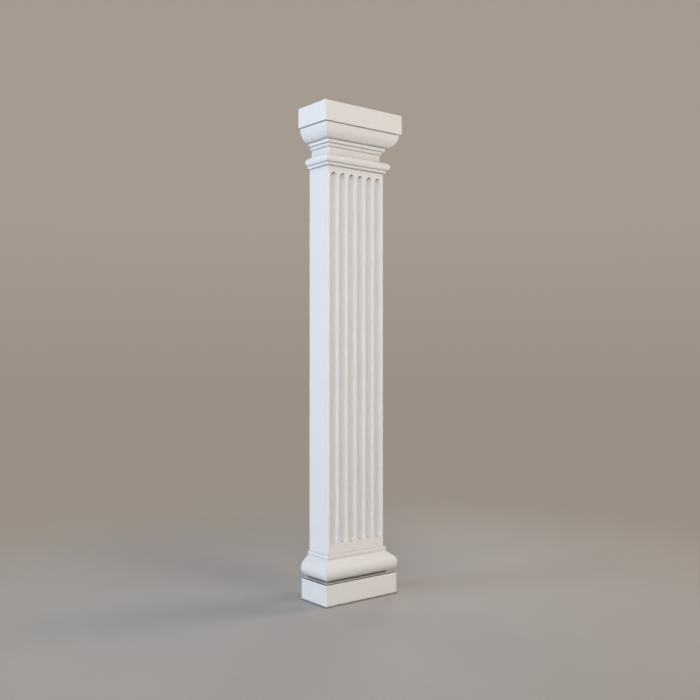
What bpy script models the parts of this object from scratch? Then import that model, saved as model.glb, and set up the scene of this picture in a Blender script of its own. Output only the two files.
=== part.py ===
"""A white fluted pilaster: plinth block, moulded base, fluted shaft and moulded capital.

Metres, +Z up. The flat back faces +Y and the fluted face looks along -Y. The origin lies on the
ground, under the middle of the whole outline.

A moulding is given by its outline from the bottom up. Each point of an outline is a projection,
measured outwards from the faces of the shaft, and a height above the foot of the moulding.
"""

from math import atan, copysign, cos, pi, radians, sin, tan

import bmesh
import bpy
from mathutils import Matrix

# The whole pilaster
TOTAL_HEIGHT = 2.400
JOINT_GAP = 0.0003

# Plinth
PLINTH_HEIGHT = 0.104
PLINTH_PROJECTION = 0.0475

# Base, from its foot up: listel, quirk, torus, cavetto and fillet
LISTEL_HEIGHT = 0.004
LISTEL_PROJECTION = 0.032
BASE_QUIRK_HEIGHT = 0.011
BASE_QUIRK_PROJECTION = 0.012
TORUS_RISE = 0.041
TORUS_SWELL = 0.036
TORUS_PROJECTION = 0.051
CAVETTO_RADIUS = 0.012
BASE_FILLET_HEIGHT = 0.016
BASE_FILLET_PROJECTION = 0.010

# Shaft and its flutes
SHAFT_WIDTH = 0.3456
SHAFT_DEPTH = 0.153
FLUTE_COUNT = 6
FLUTE_DEPTH = 0.020
FLUTE_LAND = 0.0134
FLUTE_FOOT_MARGIN = 0.050
FLUTE_HEAD_MARGIN = 0.032

# Capital, from its foot up: collar, astragal, neck, two fillets, quirk, ovolo, quirk and abacus
COLLAR_HEIGHT = 0.014
COLLAR_PROJECTION = 0.0115
ASTRAGAL_RISE = 0.0212
ASTRAGAL_SWELL = 0.0225
ASTRAGAL_PROJECTION = 0.0255
NECK_HEIGHT = 0.042
NECK_PROJECTION = -0.0125
LOWER_FILLET_HEIGHT = 0.016
LOWER_FILLET_PROJECTION = -0.0048
UPPER_FILLET_HEIGHT = 0.014
UPPER_FILLET_PROJECTION = 0.0068
OVOLO_QUIRK_HEIGHT = 0.0045
OVOLO_QUIRK_PROJECTION = 0.002
OVOLO_RISE = 0.063
OVOLO_SWELL = 0.048
OVOLO_PROJECTION = 0.057
ABACUS_QUIRK_HEIGHT = 0.0035
ABACUS_QUIRK_PROJECTION = 0.048
ABACUS_HEIGHT = 0.0947
ABACUS_PROJECTION = 0.0675

# Angles, in degrees: where a round moulding starts, up from straight outwards, and how far
# the slope between torus and cavetto leans back from upright
TORUS_START = -66.0
ASTRAGAL_START = -52.0
OVOLO_START = -76.0
BASE_SLOPE = 52.0

# Fineness of the curved surfaces
ARC_STEP = 9.0
FLUTE_SIDES = 40
CRISP_ANGLE = 35.0

# The flat back stands as far behind the origin as the widest moulding reaches in front of it
BACK = (SHAFT_DEPTH + max(ABACUS_PROJECTION, TORUS_PROJECTION, PLINTH_PROJECTION)) / 2


def clear_scene():
    """Take every object out of the open scene."""
    for thing in list(bpy.data.objects):
        bpy.data.objects.remove(thing, do_unlink=True)


def new_collection(name):
    """Make a collection in the scene."""
    collection = bpy.data.collections.new(name)
    bpy.context.scene.collection.children.link(collection)
    return collection


def white_paint(name, colour, roughness):
    """Make the matt white paint of one piece."""
    material = bpy.data.materials.new(name)
    material.use_nodes = True
    shader = material.node_tree.nodes["Principled BSDF"]
    shader.inputs["Base Color"].default_value = (*colour, 1.0)
    shader.inputs["Roughness"].default_value = roughness
    shader.inputs["Metallic"].default_value = 0.0
    return material


def shade(mesh):
    """Show round surfaces smooth and arrises crisp."""
    mesh.shade_smooth()
    mesh.set_sharp_from_angle(angle=radians(CRISP_ANGLE))


def add_object(name, shape, collection, material=None):
    """Turn a bmesh into a named object of a collection."""
    mesh = bpy.data.meshes.new(name)
    shape.to_mesh(mesh)
    shape.free()
    shade(mesh)
    if material:
        mesh.materials.append(material)
    made = bpy.data.objects.new(name, mesh)
    collection.objects.link(made)
    return made


def arc(centre, swell, rise, start, end):
    """Points of an elliptical arc between two angles, counted in degrees up from straight outwards."""
    steps = max(2, round(abs(end - start) / ARC_STEP))
    points = []
    for step in range(steps + 1):
        angle = radians(start + (end - start) * step / steps)
        points.append((centre[0] + swell * cos(angle), centre[1] + rise * sin(angle)))
    return points


def base_outline():
    """Outline of the base: listel, quirk, torus, cavetto and fillet."""
    torus_foot = LISTEL_HEIGHT + BASE_QUIRK_HEIGHT
    middle = (TORUS_PROJECTION - TORUS_SWELL, torus_foot - TORUS_RISE * sin(radians(TORUS_START)))
    lean = tan(radians(BASE_SLOPE))
    torus_end = 180 / pi * atan(TORUS_RISE / TORUS_SWELL * lean)
    torus = arc(middle, TORUS_SWELL, TORUS_RISE, TORUS_START, torus_end)

    cavetto_start = BASE_FILLET_PROJECTION + CAVETTO_RADIUS * (1 - cos(radians(BASE_SLOPE)))
    slope_top = torus[-1][1] + (torus[-1][0] - cavetto_start) / lean
    fillet_foot = slope_top + CAVETTO_RADIUS * sin(radians(BASE_SLOPE))
    hollow = (BASE_FILLET_PROJECTION + CAVETTO_RADIUS, fillet_foot)
    cavetto = arc(hollow, CAVETTO_RADIUS, CAVETTO_RADIUS, 180 + BASE_SLOPE, 180)

    outline = [(LISTEL_PROJECTION, 0.0), (LISTEL_PROJECTION, LISTEL_HEIGHT)]
    outline += [(BASE_QUIRK_PROJECTION, LISTEL_HEIGHT), (BASE_QUIRK_PROJECTION, torus_foot)]
    outline += torus + cavetto
    outline.append((BASE_FILLET_PROJECTION, fillet_foot + BASE_FILLET_HEIGHT))
    return outline


def capital_outline():
    """Outline of the capital: collar, astragal, neck, two fillets, quirk, ovolo, quirk and abacus."""
    astragal_middle = (ASTRAGAL_PROJECTION - ASTRAGAL_SWELL,
                       COLLAR_HEIGHT - ASTRAGAL_RISE * sin(radians(ASTRAGAL_START)))
    neck_foot = astragal_middle[1] + ASTRAGAL_RISE
    neck_top = neck_foot + NECK_HEIGHT
    lower_fillet_top = neck_top + LOWER_FILLET_HEIGHT
    upper_fillet_top = lower_fillet_top + UPPER_FILLET_HEIGHT
    ovolo_foot = upper_fillet_top + OVOLO_QUIRK_HEIGHT
    ovolo_middle = (OVOLO_PROJECTION - OVOLO_SWELL, ovolo_foot - OVOLO_RISE * sin(radians(OVOLO_START)))
    abacus_foot = ovolo_middle[1] + ABACUS_QUIRK_HEIGHT

    outline = [(COLLAR_PROJECTION, 0.0), (COLLAR_PROJECTION, COLLAR_HEIGHT)]
    outline += arc(astragal_middle, ASTRAGAL_SWELL, ASTRAGAL_RISE, ASTRAGAL_START, 90)
    outline += [(NECK_PROJECTION, neck_foot), (NECK_PROJECTION, neck_top)]
    outline += [(LOWER_FILLET_PROJECTION, neck_top), (LOWER_FILLET_PROJECTION, lower_fillet_top)]
    outline += [(UPPER_FILLET_PROJECTION, lower_fillet_top), (UPPER_FILLET_PROJECTION, upper_fillet_top)]
    outline += [(OVOLO_QUIRK_PROJECTION, upper_fillet_top), (OVOLO_QUIRK_PROJECTION, ovolo_foot)]
    outline += arc(ovolo_middle, OVOLO_SWELL, OVOLO_RISE, OVOLO_START, 0)
    outline += [(ABACUS_QUIRK_PROJECTION, ovolo_middle[1]), (ABACUS_QUIRK_PROJECTION, abacus_foot)]
    outline += [(ABACUS_PROJECTION, abacus_foot), (ABACUS_PROJECTION, abacus_foot + ABACUS_HEIGHT)]
    return outline


def set_course(corners, projection, height):
    """Spread the corners of a level rectangle to a projection, and lift them to a height."""
    across = SHAFT_WIDTH / 2 + projection
    forward = SHAFT_DEPTH + projection
    for corner in corners:
        corner.co.x = copysign(across, corner.co.x)
        corner.co.y = BACK + copysign(forward, corner.co.y - BACK)
        corner.co.z = height


def mitred_moulding(outline, foot):
    """Raise an outline all round the shaft with mitred corners, and saw it off flat at the back."""
    shape = bmesh.new()
    bmesh.ops.create_grid(shape, x_segments=1, y_segments=1, size=1.0)
    set_course(shape.verts, outline[0][0], foot)
    rim = shape.edges[:]
    for projection, height in outline[1:]:
        raised = bmesh.ops.extrude_edge_only(shape, edges=rim)["geom"]
        rim = [part for part in raised if isinstance(part, bmesh.types.BMEdge)]
        corners = [part for part in raised if isinstance(part, bmesh.types.BMVert)]
        set_course(corners, projection, foot + height)
    bmesh.ops.contextual_create(shape, geom=rim)
    everything = shape.verts[:] + shape.edges[:] + shape.faces[:]
    bmesh.ops.bisect_plane(shape, geom=everything, dist=1e-6, plane_co=(0, BACK, 0),
                           plane_no=(0, 1, 0), clear_outer=True)
    bmesh.ops.contextual_create(shape, geom=[edge for edge in shape.edges if edge.is_boundary])
    bmesh.ops.recalc_face_normals(shape, faces=shape.faces)
    return shape


def block(projection, foot, top):
    """Make a plain block with the shaft's section, widened by a projection on three sides."""
    width = SHAFT_WIDTH + 2 * projection
    depth = SHAFT_DEPTH + projection
    height = top - foot
    place = Matrix.Translation((0, BACK - depth / 2, foot + height / 2))
    shape = bmesh.new()
    bmesh.ops.create_cube(shape, size=1.0, matrix=place @ Matrix.Diagonal((width, depth, height, 1)))
    return shape


def flute_cutter(name, across, foot, head, width, collection):
    """Make the cutter of one flute: a turned rod with round ends, mostly in front of the shaft."""
    radius = ((width / 2) ** 2 + FLUTE_DEPTH ** 2) / (2 * FLUTE_DEPTH)
    outline = arc((0.0, head - width / 2), radius, radius, 90, 0)
    outline += arc((0.0, foot + width / 2), radius, radius, 0, -90)
    shape = bmesh.new()
    corners = [shape.verts.new((reach, 0.0, height)) for reach, height in outline]
    for above, below in zip(corners, corners[1:]):
        shape.edges.new((above, below))
    cutter = add_object(name, shape, collection)
    cutter.location = (across, BACK - SHAFT_DEPTH - radius + FLUTE_DEPTH, 0.0)
    cutter.hide_render = True
    cutter.display_type = "WIRE"
    turn = cutter.modifiers.new("Turn", "SCREW")
    turn.angle = 2 * pi
    turn.steps = FLUTE_SIDES
    turn.render_steps = FLUTE_SIDES
    turn.use_merge_vertices = True
    turn.merge_threshold = 0.0001
    return cutter


def cut_flutes(shaft, foot, top, collection):
    """Cut the row of flutes into the front of the shaft, with even lands between them."""
    spacing = (SHAFT_WIDTH - FLUTE_LAND) / FLUTE_COUNT
    for number in range(FLUTE_COUNT):
        across = (number - (FLUTE_COUNT - 1) / 2) * spacing
        cut = shaft.modifiers.new(f"Flute {number + 1}", "BOOLEAN")
        cut.operation = "DIFFERENCE"
        cut.solver = "EXACT"
        cut.object = flute_cutter(f"flute_cutter_{number + 1}", across, foot + FLUTE_FOOT_MARGIN,
                                  top - FLUTE_HEAD_MARGIN, spacing - FLUTE_LAND, collection)


def settle(thing):
    """Keep the cut shape as the object's own mesh, so that its new arrises can be made crisp."""
    evaluated = thing.evaluated_get(bpy.context.evaluated_depsgraph_get())
    mesh = bpy.data.meshes.new_from_object(evaluated)
    thing.modifiers.clear()
    thing.data = mesh
    shade(mesh)


def main():
    """Build the pilaster, from the ground up."""
    clear_scene()
    pieces = new_collection("pilaster")
    cutters = new_collection("cutters")
    base = base_outline()
    capital = capital_outline()
    base_foot = PLINTH_HEIGHT + JOINT_GAP
    shaft_foot = base_foot + base[-1][1] + JOINT_GAP
    capital_foot = TOTAL_HEIGHT - capital[-1][1]
    shaft_top = capital_foot - JOINT_GAP

    add_object("plinth", block(PLINTH_PROJECTION, 0.0, PLINTH_HEIGHT), pieces,
               white_paint("plinth_paint", (0.80, 0.79, 0.77), 0.62))
    add_object("base", mitred_moulding(base, base_foot), pieces,
               white_paint("base_paint", (0.82, 0.81, 0.79), 0.60))
    shaft = add_object("shaft", block(0.0, shaft_foot, shaft_top), pieces,
                       white_paint("shaft_paint", (0.83, 0.82, 0.80), 0.60))
    cut_flutes(shaft, shaft_foot, shaft_top, cutters)
    settle(shaft)
    add_object("capital", mitred_moulding(capital, capital_foot), pieces,
               white_paint("capital_paint", (0.84, 0.83, 0.81), 0.58))


main()
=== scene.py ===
"""White fluted pilaster: its four moulded and painted pieces, standing on a plain pale floor.

The frame gives the place and the outer size of each piece. The settings give what lies inside
that size: the outlines of the mouldings, the flutes, the softness of the arrises and the paint.
Metres, +Z up, with the flat back towards +Y and the fluted front towards -Y.
"""

from math import atan, atan2, ceil, cos, degrees, hypot, pi, radians, sin, tan

import bmesh
import bpy
from bpy.props import FloatProperty, FloatVectorProperty, IntProperty, PointerProperty
from mathutils import Matrix, Vector


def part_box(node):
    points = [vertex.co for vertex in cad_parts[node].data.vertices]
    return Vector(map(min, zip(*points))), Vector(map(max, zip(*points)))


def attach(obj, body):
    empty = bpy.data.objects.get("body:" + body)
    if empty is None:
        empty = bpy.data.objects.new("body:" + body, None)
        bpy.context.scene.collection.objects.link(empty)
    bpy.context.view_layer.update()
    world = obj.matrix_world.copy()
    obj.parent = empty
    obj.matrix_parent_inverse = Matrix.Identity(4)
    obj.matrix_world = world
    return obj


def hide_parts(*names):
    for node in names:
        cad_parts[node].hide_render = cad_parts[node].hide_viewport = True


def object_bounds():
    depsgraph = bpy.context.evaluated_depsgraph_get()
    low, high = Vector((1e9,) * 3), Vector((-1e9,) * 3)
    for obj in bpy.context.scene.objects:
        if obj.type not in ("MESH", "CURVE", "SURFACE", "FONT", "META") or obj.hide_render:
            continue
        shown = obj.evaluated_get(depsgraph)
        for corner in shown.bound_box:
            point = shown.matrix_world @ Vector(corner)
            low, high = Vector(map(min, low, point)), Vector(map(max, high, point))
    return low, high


bl_info = {
    "name": "Fluted Pilaster",
    "version": (1, 0, 0),
    "blender": (4, 5, 0),
    "location": "3D View > Sidebar > Pilaster",
    "description": "Makes the finished surfaces of a white fluted pilaster",
    "category": "Add Mesh",
}

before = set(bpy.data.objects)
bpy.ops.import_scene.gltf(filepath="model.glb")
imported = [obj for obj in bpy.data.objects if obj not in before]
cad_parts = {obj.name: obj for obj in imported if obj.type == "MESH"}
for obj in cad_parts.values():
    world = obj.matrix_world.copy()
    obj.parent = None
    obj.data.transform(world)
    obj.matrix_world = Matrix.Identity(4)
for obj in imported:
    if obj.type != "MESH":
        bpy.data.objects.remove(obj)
cad_low, cad_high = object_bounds()
shaft_low, shaft_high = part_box("shaft")

# The shaft's section, from which every moulding projects
BACK = shaft_high.y
SHAFT_WIDTH = shaft_high.x - shaft_low.x
SHAFT_DEPTH = shaft_high.y - shaft_low.y

# Degrees: a step along an arc, a step round a softened corner, the smallest turn that is
# softened, and the smallest one that is shaded as an edge
ARC_STEP = 4.0
SOFT_STEP = 24.0
SMALLEST_TURN = 20.0
CRISP_ANGLE = 35.0

# The longest stretch between two points of an outline, and how much of one a corner may take
LONGEST_STRETCH = 0.004
LARGEST_CUT = 0.45

# How near two places are the same, the width of the narrow strip beside an edge, and how far the plinth's
# ledge, painted in shade, reaches in from its edge, to just under the base
WELD = 1e-6
MARGIN = 0.003
LEDGE = 0.020

# How far the painted shade reaches out of a deep channel, out of a shallow corner and along a joint
CHANNEL_REACH = 0.017
CORNER_REACH = 0.007
JOINT_REACH = 0.007

# How far the painted highlight reaches from an arris
ARRIS_REACH = 0.004

# How much painted shade lies at the shaft's foot and at its head, under the collar
SHAFT_FOOT_SHADE = 0.30
SHAFT_HEAD_SHADE = 0.85

# Painted shade elsewhere (a painted contact shadow at the plinth's foot), and a darkening at the foot of
# each flute: how much at its middle, and how far it reaches
PLINTH_FOOT_SHADOW = (1.5, 0.012)
LISTEL_SHADE = (0.60, 0.010)
CAVETTO_SHADE = (0.30, 0.012)
NECK_SHADE = (0.45, 0.030)
FLUTE_HEAD_SHADE = (1.4, 0.015)
FLUTE_FOOT_DARKENING = (0.25, 0.026)

# Noises of the paint, of the patches in the painted shade and highlight, and of the floor: scale, detail
# and roughness
CLOUDS = (2.6, 3.0, 0.55)
PATCHES = (19.0, 2.0, 0.5)
PEEL = (420.0, 2.0, 0.5)
RIPPLE = (60.0, 2.0, 0.5)
MASK_NOISE = (36.0, 4.0, 0.6)
FLOOR_CLOUDS = (1.4, 4.0, 0.6)

# The middle stretch of a noise's values, and the tones around 1 that it is made into
NOISE_BAND = (0.3, 0.7)
TONE_BAND = (0.98, 1.02)

# How much the clouds count beside the patches, and how far the paint's tone swings
CLOUD_SHARE = 0.65
UNEVENNESS = 0.06

# How much the peel counts beside the ripple, and how strong and deep the paint's relief is
PEEL_SHARE = 0.3
RELIEF_STRENGTH = 0.25
RELIEF_DEPTH = 0.0004

# How far the paint's roughness swings, and what the painted shade adds to it
ROUGHNESS_SWING = 0.04
SHADE_ROUGHNESS = 0.5

# The painted shade and the painted highlight are patchy: the least of their masks that still shows
LEAST_MASK = 0.7

# The floor's roughness, and the slopes of view between which the backdrop changes its tone
FLOOR_ROUGHNESS = 0.75
HORIZON_BAND = (-0.03, 0.14)

# Softboxes: name, degrees round to the left of straight ahead, degrees up, width, watts and colour
SOFTBOXES = (
    ("left_side", 75, 0, 2.0, 144.0, (0.98, 0.94, 0.86)),
    ("left_front", 45, 0, 2.0, 108.0, (0.39, 0.56, 1.00)),
    ("left_high", 45, 55, 2.4, 92.0, (1.00, 1.00, 0.93)),
    ("left_behind", 105, 17, 2.4, 142.0, (0.66, 0.80, 1.00)),
    ("front_low", -15, 0, 2.0, 75.0, (1.00, 0.75, 0.22)),
    ("front_high", -15, 25, 2.4, 54.0, (1.00, 0.95, 0.93)),
    ("right", -75, 12, 2.4, 205.0, (1.00, 0.86, 0.82)),
    ("back", 180, 5, 2.0, 60.0, (1.00, 1.00, 1.00)),
    ("back_right", -130, 5, 2.0, 60.0, (1.00, 0.98, 0.93)),
)


def length(name, description, default):
    """A length that a user can set."""
    return FloatProperty(name=name, description=description, default=default, unit="LENGTH",
                         precision=4, step=0.1)


def angle(name, description, default):
    """An angle that a user can set, given here in degrees."""
    return FloatProperty(name=name, description=description, default=radians(default), unit="ROTATION")


def share(name, description, default):
    """A share from 0 to 1 that a user can set."""
    return FloatProperty(name=name, description=description, default=default, min=0.0, max=1.0,
                         subtype="FACTOR")


def colour(name, description, default):
    """A colour that a user can set."""
    return FloatVectorProperty(name=name, description=description, default=default, size=3, min=0.0,
                               max=1.0, subtype="COLOR")


def place(name, description, default):
    """A place that a user can set."""
    return FloatVectorProperty(name=name, description=description, default=default, size=3,
                               unit="LENGTH", subtype="TRANSLATION")


class BaseSettings(bpy.types.PropertyGroup):
    """Outline of the base, from its foot up."""

    listel_height: length("Listel height", "Height of the flat band under the base", 0.004)
    listel_projection: length("Listel projection", "Reach of the flat band beyond the shaft", 0.032)
    quirk_height: length("Quirk height", "Height of the dark channel under the torus", 0.011)
    quirk_projection: length("Quirk projection", "Reach of the channel's back beyond the shaft", 0.012)
    torus_rise: length("Torus rise", "Half the height of the full torus", 0.041)
    torus_swell: length("Torus swell", "Half the depth of the full torus", 0.036)
    torus_start: angle("Torus start", "Where the torus starts, up from straight outwards", -66.0)
    slope: angle("Slope", "Slope between torus and cavetto, back from upright", 52.0)
    cavetto_radius: length("Cavetto radius", "Radius of the hollow under the fillet", 0.012)
    fillet_projection: length("Fillet projection", "Reach of the top fillet beyond the shaft", 0.010)


class ShaftSettings(bpy.types.PropertyGroup):
    """The flutes in the front of the shaft."""

    flute_count: IntProperty(name="Flutes", description="Number of flutes", default=6, min=1)
    flute_depth: length("Flute depth", "Depth of a flute at its middle", 0.020)
    flute_land: length("Land", "Width of the flat land between two flutes", 0.0134)
    foot_margin: length("Foot margin", "Plain height of the shaft under the flutes", 0.050)
    head_margin: length("Head margin", "Plain height of the shaft over the flutes", 0.032)


class CapitalSettings(bpy.types.PropertyGroup):
    """Outline of the capital, from its foot up."""

    collar_height: length("Collar height", "Height of the band under the astragal", 0.014)
    collar_projection: length("Collar projection", "Reach of the band beyond the shaft", 0.0115)
    astragal_rise: length("Astragal rise", "Half the height of the full astragal", 0.0212)
    astragal_swell: length("Astragal swell", "Half the depth of the full astragal", 0.0225)
    astragal_projection: length("Astragal projection", "Reach of the astragal beyond the shaft", 0.0255)
    astragal_start: angle("Astragal start", "Where the astragal starts, up from straight outwards", -52.0)
    neck_height: length("Neck height", "Height of the plain neck", 0.042)
    neck_projection: length("Neck projection", "Reach of the neck beyond the shaft", -0.0125)
    lower_fillet_height: length("Lower fillet height", "Height of the lower fillet", 0.016)
    lower_fillet_projection: length("Lower fillet projection", "Reach of the lower fillet", -0.0048)
    upper_fillet_height: length("Upper fillet height", "Height of the upper fillet", 0.014)
    upper_fillet_projection: length("Upper fillet projection", "Reach of the upper fillet", 0.0068)
    ovolo_quirk_height: length("Ovolo quirk height", "Height of the channel under the ovolo", 0.0045)
    ovolo_quirk_projection: length("Ovolo quirk projection", "Reach of that channel's back", 0.002)
    ovolo_rise: length("Ovolo rise", "Height of the full quarter round", 0.063)
    ovolo_swell: length("Ovolo swell", "Depth of the full quarter round", 0.048)
    ovolo_projection: length("Ovolo projection", "Reach of the ovolo beyond the shaft", 0.057)
    ovolo_start: angle("Ovolo start", "Where the ovolo starts, up from straight outwards", -76.0)
    abacus_quirk_height: length("Abacus quirk height", "Height of the channel under the abacus", 0.0035)
    abacus_quirk_projection: length("Abacus quirk projection", "Reach of that channel's back", 0.048)


class PaintSettings(bpy.types.PropertyGroup):
    """The white paint and the softness that it gives to the arrises."""

    arris_radius: length("Arris radius", "Radius that the paint gives to every arris", 0.0011)
    plinth_white: colour("Plinth white", "Paint of the plinth", (0.74, 0.735, 0.72))
    base_white: colour("Base white", "Paint of the base", (0.74, 0.735, 0.72))
    shaft_white: colour("Shaft white", "Paint of the shaft", (0.74, 0.735, 0.72))
    # The capital's white is a little lighter than the other pieces' white, the same paint, as painted
    # light on the top piece
    capital_lightened_white: colour("Capital lightened white", "Paint of the capital", (0.765, 0.76, 0.745))
    # Painted shade: this colour and the shares below darken the channels, creases, ledges and joints where
    # shade falls
    painted_shade: colour("Painted shade", "Colour of the painted shade in the channels", (0.045, 0.040, 0.035))
    plinth_shade: share("Painted shade on the plinth", "How far the painted shade darkens the ledge", 1.0)
    base_shade: share("Painted shade in the base", "How far the painted shade darkens a channel", 1.0)
    shaft_shade: share("Painted shade on the shaft", "How far the painted shade darkens the shaft", 1.0)
    capital_shade: share("Painted shade in the capital", "How far the painted shade darkens a channel", 0.57)
    # Painted highlight: this colour and the share below lighten the arrises where light catches them
    arris_highlight: colour("Arris highlight", "Colour of the painted highlight on an arris", (0.82, 0.815, 0.80))
    highlight_amount: share("Painted highlight", "How far the painted highlight shows on an arris", 0.35)
    shine: share("Roughness", "Roughness of the dry paint", 0.58)


class StageSettings(bpy.types.PropertyGroup):
    """Floor, background, lights and camera."""

    floor_tone: colour("Floor", "Colour of the floor", (0.42, 0.40, 0.38))
    floor_radius: length("Floor radius", "Radius of the floor", 40.0)
    fade_start: length("Fade start", "How far off the floor starts to fade into the backdrop", 0.4)
    fade_end: length("Fade end", "How far off the floor has faded into the backdrop", 3.5)
    # The dark line round the plinth's foot is a painted contact shadow on the floor
    contact_shadow_reach: length("Contact shadow reach", "Width of the dark line round the foot of the plinth", 0.010)
    contact_shadow_tone: colour("Contact shadow", "Colour of that line", (0.10, 0.09, 0.08))
    backdrop_tone: colour("Backdrop", "Colour seen behind the pilaster", (0.376, 0.326, 0.278))
    horizon_tone: colour("Horizon", "Colour that the backdrop takes at the horizon", (0.323, 0.279, 0.235))
    even_tone: colour("Even light", "Colour of the faint light from all round", (0.05, 0.05, 0.05))
    light_distance: length("Light distance", "How far off the softboxes stand", 6.0)
    light_share: share("Light", "How far the softboxes are turned up", 0.95)
    camera_place: place("Camera place", "Where the camera stands", (-2.7537, -3.45165, 1.1878))
    camera_turn: angle("Camera turn", "How far the camera looks to the right of straight ahead", 38.524)
    camera_tilt: angle("Camera tilt", "How far the camera looks up", 0.42)
    camera_lens: FloatProperty(name="Camera lens", description="Focal length on a 36 mm wide sensor",
                               default=45.79, min=1.0, unit="CAMERA")


def projection_of(node):
    """How far a node reaches out beyond the sides of the shaft."""
    low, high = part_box(node)
    return (high.x - low.x - SHAFT_WIDTH) / 2


def arc(centre, swell, rise, start, end):
    """Points of an elliptical arc between two angles, counted up from straight outwards."""
    steps = max(2, round(degrees(abs(end - start)) / ARC_STEP))
    points = []
    for step in range(steps + 1):
        turn = start + (end - start) * step / steps
        points.append((centre[0] + swell * cos(turn), centre[1] + rise * sin(turn)))
    return points


def plinth_outline():
    """Outline of the plinth: one upright face between two arrises, and the ledge on top."""
    low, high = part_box("plinth")
    projection = projection_of("plinth")
    outline = [(projection - MARGIN, low.z), (projection, low.z), (projection, low.z + MARGIN)]
    outline += [(projection, high.z), (projection - MARGIN, high.z), (projection - LEDGE, high.z)]
    return outline


def base_outline(sizes):
    """Outline of the base: listel, quirk, torus, cavetto and fillet."""
    low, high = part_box("base")
    quirk_foot = low.z + sizes.listel_height
    torus_foot = quirk_foot + sizes.quirk_height
    middle = (projection_of("base") - sizes.torus_swell,
              torus_foot - sizes.torus_rise * sin(sizes.torus_start))
    lean = tan(sizes.slope)
    torus = arc(middle, sizes.torus_swell, sizes.torus_rise, sizes.torus_start,
                atan(sizes.torus_rise / sizes.torus_swell * lean))

    cavetto_start = sizes.fillet_projection + sizes.cavetto_radius * (1 - cos(sizes.slope))
    slope_top = torus[-1][1] + (torus[-1][0] - cavetto_start) / lean
    hollow = (sizes.fillet_projection + sizes.cavetto_radius,
              slope_top + sizes.cavetto_radius * sin(sizes.slope))
    cavetto = arc(hollow, sizes.cavetto_radius, sizes.cavetto_radius, pi + sizes.slope, pi)

    outline = [(sizes.listel_projection - MARGIN, low.z), (sizes.listel_projection, low.z)]
    outline += [(sizes.listel_projection, quirk_foot), (sizes.quirk_projection, quirk_foot)]
    outline.append((sizes.quirk_projection, torus_foot))
    outline += torus + cavetto
    outline += [(sizes.fillet_projection, high.z), (sizes.fillet_projection - MARGIN, high.z)]
    return outline


def capital_outline(sizes):
    """Outline of the capital: collar, astragal, neck, two fillets, quirk, ovolo, quirk and abacus."""
    low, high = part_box("capital")
    collar_top = low.z + sizes.collar_height
    astragal_middle = (sizes.astragal_projection - sizes.astragal_swell,
                       collar_top - sizes.astragal_rise * sin(sizes.astragal_start))
    neck_foot = astragal_middle[1] + sizes.astragal_rise
    neck_top = neck_foot + sizes.neck_height
    lower_fillet_top = neck_top + sizes.lower_fillet_height
    upper_fillet_top = lower_fillet_top + sizes.upper_fillet_height
    ovolo_foot = upper_fillet_top + sizes.ovolo_quirk_height
    ovolo_middle = (sizes.ovolo_projection - sizes.ovolo_swell,
                    ovolo_foot - sizes.ovolo_rise * sin(sizes.ovolo_start))
    abacus_foot = ovolo_middle[1] + sizes.abacus_quirk_height
    abacus = projection_of("capital")

    outline = [(sizes.collar_projection - MARGIN, low.z), (sizes.collar_projection, low.z)]
    outline.append((sizes.collar_projection, collar_top))
    outline += arc(astragal_middle, sizes.astragal_swell, sizes.astragal_rise, sizes.astragal_start,
                   pi / 2)
    outline += [(sizes.neck_projection, neck_foot), (sizes.neck_projection, neck_top)]
    outline += [(sizes.lower_fillet_projection, neck_top)]
    outline += [(sizes.lower_fillet_projection, lower_fillet_top)]
    outline += [(sizes.upper_fillet_projection, lower_fillet_top)]
    outline += [(sizes.upper_fillet_projection, upper_fillet_top)]
    outline += [(sizes.ovolo_quirk_projection, upper_fillet_top)]
    outline += [(sizes.ovolo_quirk_projection, ovolo_foot)]
    outline += arc(ovolo_middle, sizes.ovolo_swell, sizes.ovolo_rise, sizes.ovolo_start, 0.0)
    outline += [(sizes.abacus_quirk_projection, ovolo_middle[1])]
    outline += [(sizes.abacus_quirk_projection, abacus_foot), (abacus, abacus_foot)]
    outline += [(abacus, high.z), (abacus - MARGIN, high.z)]
    return outline


def softened(outline, radius):
    """Round the sharp corners of an outline, which has the solid on its left.

    Gives rows of place, place and kind: 1 on a rounded arris, -1 in a rounded recess, else 0.
    """
    rows = [(*outline[0], 0)]
    for before, corner, after in zip(outline, outline[1:], outline[2:]):
        into = Vector(corner) - Vector(before)
        out = Vector(after) - Vector(corner)
        turn = atan2(into.x * out.y - into.y * out.x, into.dot(out))
        if abs(turn) < radians(SMALLEST_TURN):
            rows.append((*corner, 0))
            continue
        half = tan(abs(turn) / 2)
        cut = min(radius * half, LARGEST_CUT * min(into.length, out.length))
        bend = cut / half
        start = Vector(corner) - into.normalized() * cut
        side = 1 if turn > 0 else -1
        inward = Vector((-into.y, into.x)).normalized() * side
        centre = start + inward * bend
        steps = max(2, ceil(degrees(abs(turn)) / SOFT_STEP))
        for step in range(steps + 1):
            spoke = Matrix.Rotation(turn * step / steps, 2) @ (start - centre)
            point = centre + spoke
            rows.append((point.x, point.y, side))
    rows.append((*outline[-1], 0))
    return rows


def fading(distance, reach):
    """1 at no distance, and 0 from a reach onwards."""
    return max(0.0, 1.0 - distance / reach) ** 2


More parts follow.
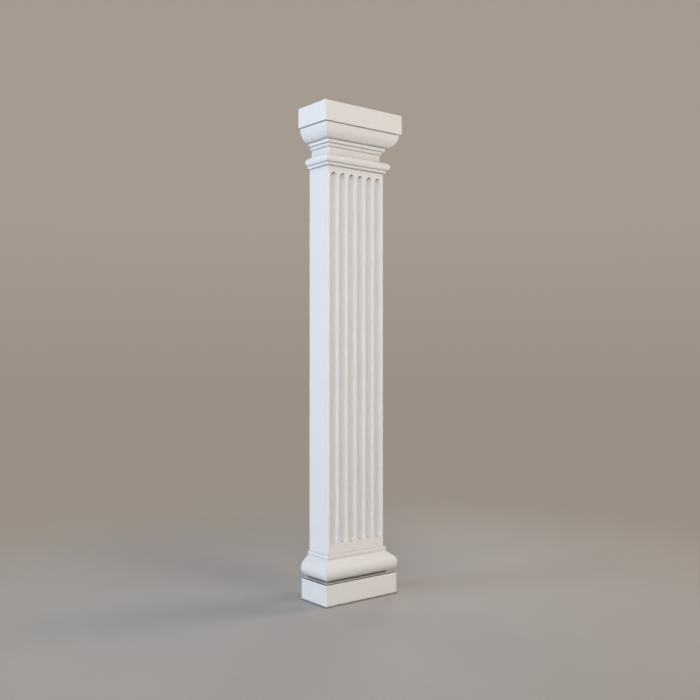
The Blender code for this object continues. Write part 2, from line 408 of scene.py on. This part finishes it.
def surveyed(rows, recess_reach):
    """Divide long stretches, and give every point its nearness to an arris and to a recess."""
    fine = [rows[0]]
    for before, after in zip(rows, rows[1:]):
        steps = max(1, ceil(hypot(after[0] - before[0], after[1] - before[1]) / LONGEST_STRETCH))
        for step in range(1, steps):
            way = step / steps
            fine.append((before[0] + (after[0] - before[0]) * way,
                         before[1] + (after[1] - before[1]) * way, 0))
        fine.append(after)
    along = [0.0]
    for before, after in zip(fine, fine[1:]):
        along.append(along[-1] + hypot(after[0] - before[0], after[1] - before[1]))
    arrises = [reach for reach, row in zip(along, fine) if row[2] > 0]
    recesses = [reach for reach, row in zip(along, fine) if row[2] < 0]
    points = []
    for reach, row in zip(along, fine):
        arris = max((fading(abs(reach - other), ARRIS_REACH) for other in arrises), default=0.0)
        recess = max((fading(abs(reach - other), recess_reach) for other in recesses), default=0.0)
        points.append((row[0], row[1], arris, recess))
    return points


def with_painted_shade(points, height, painted_shade, downwards=False):
    """Lay painted shade on an outline from a height upwards, and downwards too where that is asked for."""
    amount, reach = painted_shade
    lowest = height - (reach if downwards else WELD)
    laid = []
    for point in points:
        mask = amount * fading(abs(point[1] - height), reach) if point[1] > lowest else 0.0
        laid.append((*point[:3], min(1.0, max(point[3], mask))))
    return laid


def ledge_with_painted_shade(points, edge):
    """Cover the ledge at the top of an outline with painted shade, from an edge inwards."""
    top = points[-1][1]
    return [(*point[:3], 1.0) if point[0] < edge + WELD and point[1] > top - WELD else point
            for point in points]


def level_section(projection, radius):
    """A level section round the front, from the back on the left to the back on the right.

    Gives rows of place, place and nearness to an arris.
    """
    across = SHAFT_WIDTH / 2 + projection
    front = BACK - SHAFT_DEPTH - projection
    corner = (across - radius, front + radius)
    right = [(corner[0] - MARGIN, front, 0.0)]
    steps = ceil(90 / SOFT_STEP)
    for step in range(steps + 1):
        turn = pi / 2 * step / steps
        right.append((corner[0] + radius * sin(turn), corner[1] - radius * cos(turn), 1.0))
    right += [(across, corner[1] + MARGIN, 0.0), (across, BACK - MARGIN, 0.0), (across, BACK, 0.0)]
    left = [(-x, y, arris) for x, y, arris in reversed(right)]
    return left + right


def new_shape():
    """An empty bmesh with the layers that the paint reads."""
    shape = bmesh.new()
    shape.verts.layers.float.new("arris")
    shape.verts.layers.float.new("recess")
    shape.verts.layers.int.new("order")
    return shape


def new_wire(shape, places):
    """A chain of edges through places, numbered in order."""
    order = shape.verts.layers.int["order"]
    corners = [shape.verts.new(spot) for spot in places]
    for number, corner in enumerate(corners):
        corner[order] = number
    return [shape.edges.new(pair) for pair in zip(corners, corners[1:])]


def set_course(shape, corners, point, radius):
    """Lay one course of corners at an outline's point, with its masks. The back has none."""
    projection, height, arris, recess = point
    order = shape.verts.layers.int["order"]
    arris_layer = shape.verts.layers.float["arris"]
    recess_layer = shape.verts.layers.float["recess"]
    section = level_section(projection, radius)
    for corner in corners:
        x, y, plan_arris = section[corner[order]]
        corner.co = (x, y, height)
        on_back = y > BACK - WELD
        corner[arris_layer] = 0.0 if on_back else max(arris, plan_arris)
        corner[recess_layer] = 0.0 if on_back else recess


def parts_of(made, kind):
    """The vertices or edges among what an operator made."""
    return [part for part in made if isinstance(part, kind)]


def end_edge(shape, rim):
    """The edge across the back that closes an open rim."""
    order = shape.verts.layers.int["order"]
    corners = {corner for edge in rim for corner in edge.verts}
    ends = (min(corners, key=lambda corner: corner[order]), max(corners, key=lambda corner: corner[order]))
    return shape.edges.new(ends)


def mitred_shape(points, radius):
    """Raise an outline round the front and both sides, and close it flat above, below and behind."""
    shape = new_shape()
    rim = new_wire(shape, [(x, y, 0.0) for x, y, arris in level_section(points[0][0], radius)])
    set_course(shape, shape.verts, points[0], radius)
    foot = rim
    for point in points[1:]:
        raised = bmesh.ops.extrude_edge_only(shape, edges=rim)["geom"]
        rim = parts_of(raised, bmesh.types.BMEdge)
        set_course(shape, parts_of(raised, bmesh.types.BMVert), point, radius)
    bmesh.ops.contextual_create(shape, geom=foot + [end_edge(shape, foot)])
    bmesh.ops.contextual_create(shape, geom=rim + [end_edge(shape, rim)])
    bmesh.ops.contextual_create(shape, geom=[edge for edge in shape.edges if edge.is_boundary])
    bmesh.ops.recalc_face_normals(shape, faces=shape.faces)
    return shape


def flute_outline(width, depth, radius):
    """Half the section of a flute, from its floor over the arris to the land beside it."""
    bend = ((width / 2) ** 2 + depth ** 2) / (2 * depth)
    rim = atan2(width / 2, bend - depth)
    hollow = arc((0.0, bend - depth), bend, bend, -pi / 2, -pi / 2 - rim)
    return softened(hollow + [(-width / 2 - MARGIN, 0.0)], radius)


def carve_flute(shape, across, foot, head, rows):
    """Sweep half a flute's section up, round the head, down and round the foot."""
    front = BACK - SHAFT_DEPTH
    fresh = [(across + side, front - rise, foot) for side, rise, kind in rows]
    wire = new_wire(shape, fresh)
    arris_layer = shape.verts.layers.float["arris"]
    order = shape.verts.layers.int["order"]
    for corner in {corner for edge in wire for corner in edge.verts}:
        corner[arris_layer] = 1.0 if rows[corner[order]][2] else 0.0
    turns = ceil(180 / ARC_STEP)
    for start, end in ((foot, head), (head, foot)):
        raised = bmesh.ops.extrude_edge_only(shape, edges=wire)["geom"]
        corners = parts_of(raised, bmesh.types.BMVert)
        bmesh.ops.translate(shape, verts=corners, vec=(0.0, 0.0, end - start))
        edges = parts_of(raised, bmesh.types.BMEdge)
        spun = bmesh.ops.spin(shape, geom=corners + edges, cent=(across, front, end), axis=(0, 1, 0),
                              angle=pi, steps=turns)["geom_last"]
        wire = parts_of(spun, bmesh.types.BMEdge)


def darken_flute(shape, across, height, painted_shade):
    """Darken the inside of a flute round the top of its head, where it paints shade, and round the bottom
    of its foot.
    """
    front = BACK - SHAFT_DEPTH
    recess_layer = shape.verts.layers.float["recess"]
    amount, reach = painted_shade
    for corner in shape.verts:
        if corner.co.y > front + WELD:
            distance = hypot(corner.co.x - across, corner.co.z - height)
            near = min(1.0, amount * fading(distance, reach))
            corner[recess_layer] = max(corner[recess_layer], near)


def fluted_shape(sizes, radius):
    """The shaft: a plain block whose front is filled in again round a row of flutes."""
    low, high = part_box("shaft")
    # The shaft's foot and head get painted shade where they meet the base and the collar
    courses = [(0.0, low.z, 0.0, SHAFT_FOOT_SHADE), (0.0, low.z + JOINT_REACH, 0.0, 0.0),
               (0.0, high.z - JOINT_REACH, 0.0, 0.0), (0.0, high.z, 0.0, SHAFT_HEAD_SHADE)]
    shape = mitred_shape(courses, radius)
    front = BACK - SHAFT_DEPTH
    flat = [face for face in shape.faces if all(corner.co.y < front + WELD for corner in face.verts)]
    widest = max(flat, key=lambda face: face.calc_area())
    bmesh.ops.delete(shape, geom=[widest], context="FACES_ONLY")

    spacing = (SHAFT_WIDTH - sizes.flute_land) / sizes.flute_count
    width = spacing - sizes.flute_land
    rows = flute_outline(width, sizes.flute_depth, radius)
    foot = low.z + sizes.foot_margin + width / 2
    head = high.z - sizes.head_margin - width / 2
    for number in range(sizes.flute_count):
        across = (number - (sizes.flute_count - 1) / 2) * spacing
        carve_flute(shape, across, foot, head, rows)
        # Painted shade round each flute's head, and a darkening round its foot
        darken_flute(shape, across, head + width / 2, FLUTE_HEAD_SHADE)
        darken_flute(shape, across, foot - width / 2, FLUTE_FOOT_DARKENING)
    bmesh.ops.remove_doubles(shape, verts=shape.verts, dist=10 * WELD)
    open_edges = [edge for edge in shape.edges if edge.is_boundary]
    bmesh.ops.triangle_fill(shape, use_beauty=True, edges=open_edges, normal=(0, -1, 0))
    bmesh.ops.recalc_face_normals(shape, faces=shape.faces)
    return shape


def finished(name, shape, material, node):
    """Turn a shape into a piece that stands for its node of the frame."""
    mesh = bpy.data.meshes.new(name)
    shape.to_mesh(mesh)
    shape.free()
    mesh.shade_smooth()
    mesh.set_sharp_from_angle(angle=radians(CRISP_ANGLE))
    mesh.materials.append(material)
    piece = bpy.data.objects.new(name, mesh)
    bpy.context.scene.collection.objects.link(piece)
    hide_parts(node)
    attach(piece, "root")


def add_node(tree, kind, **values):
    """Add a shader node and set its properties."""
    node = tree.nodes.new(kind)
    for key, value in values.items():
        setattr(node, key, value)
    return node


def feed(tree, node, values):
    """Link a node's sockets to other ones, or set them to numbers, vectors and colours."""
    for key, value in values.items():
        socket = node.inputs[key]
        if isinstance(value, bpy.types.NodeSocket):
            tree.links.new(value, socket)
        elif socket.type == "RGBA":
            socket.default_value = (*value, 1.0)
        else:
            socket.default_value = value


def maths(tree, operation, first, second, clamp=False):
    """A Math node's result."""
    node = add_node(tree, "ShaderNodeMath", operation=operation, use_clamp=clamp)
    feed(tree, node, {0: first, 1: second})
    return node.outputs["Value"]


def vector_maths(tree, operation, first, second=(0.0, 0.0, 0.0)):
    """A Vector Math node's vector."""
    node = add_node(tree, "ShaderNodeVectorMath", operation=operation)
    feed(tree, node, {0: first, 1: second})
    return node.outputs["Vector"]


def length_of(tree, vector):
    """The length of a vector socket."""
    node = add_node(tree, "ShaderNodeVectorMath", operation="LENGTH")
    feed(tree, node, {0: vector})
    return node.outputs["Value"]


def remapped(tree, value, given, wanted, kind="LINEAR"):
    """A Map Range node's result, which turns the given band of values into the wanted one."""
    node = add_node(tree, "ShaderNodeMapRange", interpolation_type=kind)
    feed(tree, node, {"Value": value, "From Min": given[0], "From Max": given[1], "To Min": wanted[0],
                      "To Max": wanted[1]})
    return node.outputs["Result"]


def mixed(tree, blend, factor, first, second):
    """A colour Mix node's result. Its colours are the seventh and the eighth socket."""
    node = add_node(tree, "ShaderNodeMix", data_type="RGBA", blend_type=blend)
    feed(tree, node, {0: factor, 6: first, 7: second})
    return node.outputs[2]


def noise(tree, vector, pattern):
    """A noise texture's value, on the coordinates given."""
    node = add_node(tree, "ShaderNodeTexNoise")
    scale, detail, roughness = pattern
    feed(tree, node, {"Vector": vector, "Scale": scale, "Detail": detail, "Roughness": roughness})
    return node.outputs["Fac"]


def two_noises(tree, vector, first, second, share):
    """The sum of two noises, of which the first has the share given."""
    main = maths(tree, "MULTIPLY", noise(tree, vector, first), share)
    rest = maths(tree, "MULTIPLY", noise(tree, vector, second), 1 - share)
    return maths(tree, "ADD", main, rest)


def new_group(name, inputs, outputs):
    """An empty shader node group with named sockets."""
    tree = bpy.data.node_groups.new(name, "ShaderNodeTree")
    for label, kind, default in inputs:
        socket = tree.interface.new_socket(label, in_out="INPUT", socket_type=kind)
        if default is not None:
            socket.default_value = default
    for label in outputs:
        tree.interface.new_socket(label, in_out="OUTPUT", socket_type="NodeSocketFloat")
    return tree, tree.nodes.new("NodeGroupInput"), tree.nodes.new("NodeGroupOutput")


def paint_film_group():
    """Node group: how a coat of paint varies in tone, and its fine orange-peel relief."""
    inputs = (("Vector", "NodeSocketVector", None), ("Unevenness", "NodeSocketFloat", UNEVENNESS))
    tree, given, result = new_group("Paint film", inputs, ("Tone", "Relief"))
    vector = given.outputs["Vector"]
    patchy = maths(tree, "SUBTRACT", two_noises(tree, vector, CLOUDS, PATCHES, CLOUD_SHARE), 0.5)
    tone = maths(tree, "ADD", maths(tree, "MULTIPLY", patchy, given.outputs["Unevenness"]), 1.0)
    relief = two_noises(tree, vector, PEEL, RIPPLE, PEEL_SHARE)
    feed(tree, result, {"Tone": tone, "Relief": relief})
    return tree


def shade_and_highlight_group():
    """Node group: where painted shade lies in the recesses, and where a painted highlight lies on the
    arrises.
    """
    inputs = (("Vector", "NodeSocketVector", None), ("Painted shade", "NodeSocketFloat", 1.0),
              ("Highlight", "NodeSocketFloat", 1.0))
    tree, given, result = new_group("Painted shade and highlight", inputs, ("Painted shade", "Highlight"))
    patchy = remapped(tree, noise(tree, given.outputs["Vector"], MASK_NOISE), NOISE_BAND, (LEAST_MASK, 1.0))
    for mask, label in (("recess", "Painted shade"), ("arris", "Highlight")):
        reader = add_node(tree, "ShaderNodeAttribute", attribute_name=mask)
        shown = maths(tree, "MULTIPLY", reader.outputs["Fac"], patchy)
        feed(tree, result, {label: maths(tree, "MULTIPLY", shown, given.outputs[label], clamp=True)})
    return tree


def group_for(name, build):
    """A node group, built the first time that it is asked for."""
    return bpy.data.node_groups.get(name) or build()


def white_paint(name, white, painted_shade, paint):
    """The white paint of one piece, with its share of painted shade in the channels and a painted
    highlight on the arrises.
    """
    material = bpy.data.materials.new(name)
    material.use_nodes = True
    tree = material.node_tree
    shader = tree.nodes["Principled BSDF"]
    coordinates = add_node(tree, "ShaderNodeTexCoord").outputs["Object"]

    film = add_node(tree, "ShaderNodeGroup", node_tree=group_for("Paint film", paint_film_group))
    feed(tree, film, {"Vector": coordinates, "Unevenness": UNEVENNESS})
    painted_light = add_node(tree, "ShaderNodeGroup", node_tree=group_for("Painted shade and highlight", shade_and_highlight_group))
    feed(tree, painted_light, {"Vector": coordinates, "Painted shade": painted_shade, "Highlight": paint.highlight_amount})

    toned = mixed(tree, "MULTIPLY", 1.0, white, film.outputs["Tone"])
    # A painted highlight on the arrises
    highlighted = mixed(tree, "MIX", painted_light.outputs["Highlight"], toned, paint.arris_highlight)
    # Painted shade in the channels, creases, ledges and joints
    shaded = mixed(tree, "MIX", painted_light.outputs["Painted shade"], highlighted, paint.painted_shade)

    shine_band = (paint.shine + ROUGHNESS_SWING, paint.shine - ROUGHNESS_SWING)
    rough = remapped(tree, film.outputs["Tone"], TONE_BAND, shine_band)
    dull = maths(tree, "MULTIPLY", painted_light.outputs["Painted shade"], SHADE_ROUGHNESS)
    rougher = maths(tree, "ADD", rough, dull, clamp=True)

    bump = add_node(tree, "ShaderNodeBump")
    feed(tree, bump, {"Strength": RELIEF_STRENGTH, "Distance": RELIEF_DEPTH,
                      "Height": film.outputs["Relief"]})
    feed(tree, shader, {"Base Color": shaded, "Roughness": rougher, "Normal": bump.outputs["Normal"]})
    return material


class PILASTER_OT_plinth(bpy.types.Operator):
    """Make the plain block that the pilaster stands on"""

    bl_idname = "pilaster.plinth"
    bl_label = "Plinth"

    def execute(self, context):
        paint = context.scene.pilaster_paint
        outline = plinth_outline()
        foot = outline[0][1]
        ledge_edge = outline[-2][0]
        # The recesses, the plinth's foot and its ledge under the base get painted shade; at the foot it is
        # a painted contact shadow
        points = surveyed(softened(outline, paint.arris_radius), CHANNEL_REACH)
        points = ledge_with_painted_shade(with_painted_shade(points, foot, PLINTH_FOOT_SHADOW), ledge_edge)
        shape = mitred_shape(points, paint.arris_radius)
        material = white_paint("plinth_paint", paint.plinth_white, paint.plinth_shade, paint)
        finished("plinth_block", shape, material, "plinth")
        return {"FINISHED"}


class PILASTER_OT_base(bpy.types.Operator):
    """Make the moulded base with its torus"""

    bl_idname = "pilaster.base"
    bl_label = "Base"

    def execute(self, context):
        paint = context.scene.pilaster_paint
        outline = base_outline(context.scene.pilaster_base)
        listel_foot = outline[0][1]
        cavetto_top = outline[-3][1]
        # The quirk, the listel under the torus and the cavetto under the fillet get painted shade
        points = surveyed(softened(outline, paint.arris_radius), CHANNEL_REACH)
        points = with_painted_shade(points, listel_foot, LISTEL_SHADE)
        points = with_painted_shade(points, cavetto_top, CAVETTO_SHADE, downwards=True)
        shape = mitred_shape(points, paint.arris_radius)
        material = white_paint("base_paint", paint.base_white, paint.base_shade, paint)
        finished("base_moulding", shape, material, "base")
        return {"FINISHED"}


class PILASTER_OT_shaft(bpy.types.Operator):
    """Make the shaft with its row of flutes"""

    bl_idname = "pilaster.shaft"
    bl_label = "Fluted shaft"

    def execute(self, context):
        paint = context.scene.pilaster_paint
        shape = fluted_shape(context.scene.pilaster_shaft, paint.arris_radius)
        material = white_paint("shaft_paint", paint.shaft_white, paint.shaft_shade, paint)
        finished("fluted_shaft", shape, material, "shaft")
        return {"FINISHED"}


class PILASTER_OT_capital(bpy.types.Operator):
    """Make the moulded capital with its abacus"""

    bl_idname = "pilaster.capital"
    bl_label = "Capital"

    def execute(self, context):
        paint = context.scene.pilaster_paint
        sizes = context.scene.pilaster_capital
        outline = capital_outline(sizes)
        neck_foot = min(height for reach, height in outline if reach == sizes.neck_projection)
        # The quirks and the neck's foot over the astragal get painted shade
        points = surveyed(softened(outline, paint.arris_radius), CORNER_REACH)
        points = with_painted_shade(points, neck_foot, NECK_SHADE)
        shape = mitred_shape(points, paint.arris_radius)
        material = white_paint("capital_paint", paint.capital_lightened_white, paint.capital_shade, paint)
        finished("capital_moulding", shape, material, "capital")
        return {"FINISHED"}


def softbox(stage, name, around, up, size, watts, tint):
    """A round softbox that looks at the middle of the pilaster."""
    data = bpy.data.lights.new(name, "AREA")
    data.shape = "DISK"
    data.size = size
    data.energy = watts * stage.light_share
    data.color = tint
    light = bpy.data.objects.new(name, data)
    turn = radians(around)
    lift = radians(up)
    outwards = Vector((-sin(turn) * cos(lift), -cos(turn) * cos(lift), sin(lift)))
    light.location = (cad_low + cad_high) / 2 + outwards * stage.light_distance
    light.rotation_euler = outwards.to_track_quat("Z", "Y").to_euler()
    bpy.context.scene.collection.objects.link(light)


def contact_shadow(tree, coordinates, reach):
    """Mask of the painted contact shadow: how near the floor is to the foot of the plinth, 1 against it, 0
    from the reach onwards.
    """
    low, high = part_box("plinth")
    centred = vector_maths(tree, "SUBTRACT", coordinates, (low + high) / 2)
    aside = vector_maths(tree, "SUBTRACT", vector_maths(tree, "ABSOLUTE", centred), (high - low) / 2)
    distance = length_of(tree, vector_maths(tree, "MAXIMUM", aside))
    return remapped(tree, distance, (0.0, reach), (1.0, 0.0))


def floor_paint(stage):
    """The floor's plain colour, with a painted contact shadow round the foot of the plinth.

    Away from the pilaster the camera sees it fade into the backdrop.
    """
    material = bpy.data.materials.new("floor_paint")
    material.use_nodes = True
    tree = material.node_tree
    shader = tree.nodes["Principled BSDF"]
    coordinates = add_node(tree, "ShaderNodeTexCoord").outputs["Object"]
    tone = remapped(tree, noise(tree, coordinates, FLOOR_CLOUDS), NOISE_BAND, TONE_BAND)
    plain = mixed(tree, "MULTIPLY", 1.0, stage.floor_tone, tone)
    # A painted contact shadow round the foot of the plinth
    shadowed = mixed(tree, "MIX", contact_shadow(tree, coordinates, stage.contact_shadow_reach), plain, stage.contact_shadow_tone)
    feed(tree, shader, {"Base Color": shadowed, "Roughness": FLOOR_ROUGHNESS})

    haze = add_node(tree, "ShaderNodeEmission")
    feed(tree, haze, {"Color": stage.horizon_tone})
    band = (stage.fade_start, stage.fade_end)
    far = remapped(tree, length_of(tree, coordinates), band, (0.0, 1.0), kind="SMOOTHERSTEP")
    seen = add_node(tree, "ShaderNodeLightPath").outputs["Is Camera Ray"]
    blend = add_node(tree, "ShaderNodeMixShader")
    feed(tree, blend, {0: maths(tree, "MULTIPLY", far, seen), 1: shader.outputs[0], 2: haze.outputs[0]})
    feed(tree, tree.nodes["Material Output"], {"Surface": blend.outputs[0]})
    return material


def make_floor(stage):
    """The plain floor."""
    shape = bmesh.new()
    bmesh.ops.create_circle(shape, cap_ends=True, radius=stage.floor_radius, segments=96)
    bmesh.ops.translate(shape, verts=shape.verts, vec=(0.0, 0.0, cad_low.z))
    mesh = bpy.data.meshes.new("floor")
    shape.to_mesh(mesh)
    shape.free()
    mesh.materials.append(floor_paint(stage))
    floor = bpy.data.objects.new("floor", mesh)
    bpy.context.scene.collection.objects.link(floor)


def light_world(stage):
    """The faint even light from all round, and the plain backdrop that the camera sees."""
    world = bpy.data.worlds.new("backdrop")
    world.use_nodes = True
    tree = world.node_tree
    direction = add_node(tree, "ShaderNodeTexCoord").outputs["Generated"]
    height = add_node(tree, "ShaderNodeSeparateXYZ")
    feed(tree, height, {0: direction})
    rise = remapped(tree, height.outputs["Z"], HORIZON_BAND, (0.0, 1.0))
    backdrop = mixed(tree, "MIX", rise, stage.horizon_tone, stage.backdrop_tone)
    seen = add_node(tree, "ShaderNodeLightPath").outputs["Is Camera Ray"]
    tone = mixed(tree, "MIX", seen, stage.even_tone, backdrop)
    feed(tree, tree.nodes["Background"], {"Color": tone})
    bpy.context.scene.world = world


def set_camera(stage):
    """The camera, a little below the pilaster's middle, looking slightly up at its left corner."""
    data = bpy.data.cameras.new("camera")
    data.lens = stage.camera_lens
    data.sensor_width = 36.0
    camera = bpy.data.objects.new("camera", data)
    camera.location = stage.camera_place
    camera.rotation_euler = (pi / 2 + stage.camera_tilt, 0.0, -stage.camera_turn)
    bpy.context.scene.collection.objects.link(camera)
    bpy.context.scene.camera = camera


class PILASTER_OT_stage(bpy.types.Operator):
    """Make the floor, the lights and the camera"""

    bl_idname = "pilaster.stage"
    bl_label = "Stage"

    def execute(self, context):
        stage = context.scene.pilaster_stage
        make_floor(stage)
        light_world(stage)
        for light in SOFTBOXES:
            softbox(stage, *light)
        set_camera(stage)
        context.scene.view_settings.view_transform = "Standard"
        return {"FINISHED"}


class PILASTER_PT_panel(bpy.types.Panel):
    """The pilaster's steps and settings"""

    bl_idname = "PILASTER_PT_panel"
    bl_label = "Fluted pilaster"
    bl_space_type = "VIEW_3D"
    bl_region_type = "UI"
    bl_category = "Pilaster"

    def draw(self, context):
        layout = self.layout
        for operator in OPERATORS:
            layout.operator(operator.bl_idname)
        for name in SETTINGS:
            group = getattr(context.scene, name)
            box = layout.box()
            for key in group.__annotations__:
                box.prop(group, key)


OPERATORS = (PILASTER_OT_plinth, PILASTER_OT_base, PILASTER_OT_shaft, PILASTER_OT_capital,
             PILASTER_OT_stage)
SETTINGS = {
    "pilaster_base": BaseSettings,
    "pilaster_shaft": ShaftSettings,
    "pilaster_capital": CapitalSettings,
    "pilaster_paint": PaintSettings,
    "pilaster_stage": StageSettings,
}


def register():
    """Register the settings, the operators and the panel."""
    for name, group in SETTINGS.items():
        bpy.utils.register_class(group)
        setattr(bpy.types.Scene, name, PointerProperty(type=group))
    for operator in OPERATORS:
        bpy.utils.register_class(operator)
    bpy.utils.register_class(PILASTER_PT_panel)


def unregister():
    """Take back everything that register added."""
    bpy.utils.unregister_class(PILASTER_PT_panel)
    for operator in reversed(OPERATORS):
        bpy.utils.unregister_class(operator)
    for name, group in reversed(SETTINGS.items()):
        delattr(bpy.types.Scene, name)
        bpy.utils.unregister_class(group)


def main():
    """Make every piece and the stage."""
    register()
    bpy.ops.pilaster.plinth()
    bpy.ops.pilaster.base()
    bpy.ops.pilaster.shaft()
    bpy.ops.pilaster.capital()
    bpy.ops.pilaster.stage()
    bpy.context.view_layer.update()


if __name__ == "__main__":
    main()
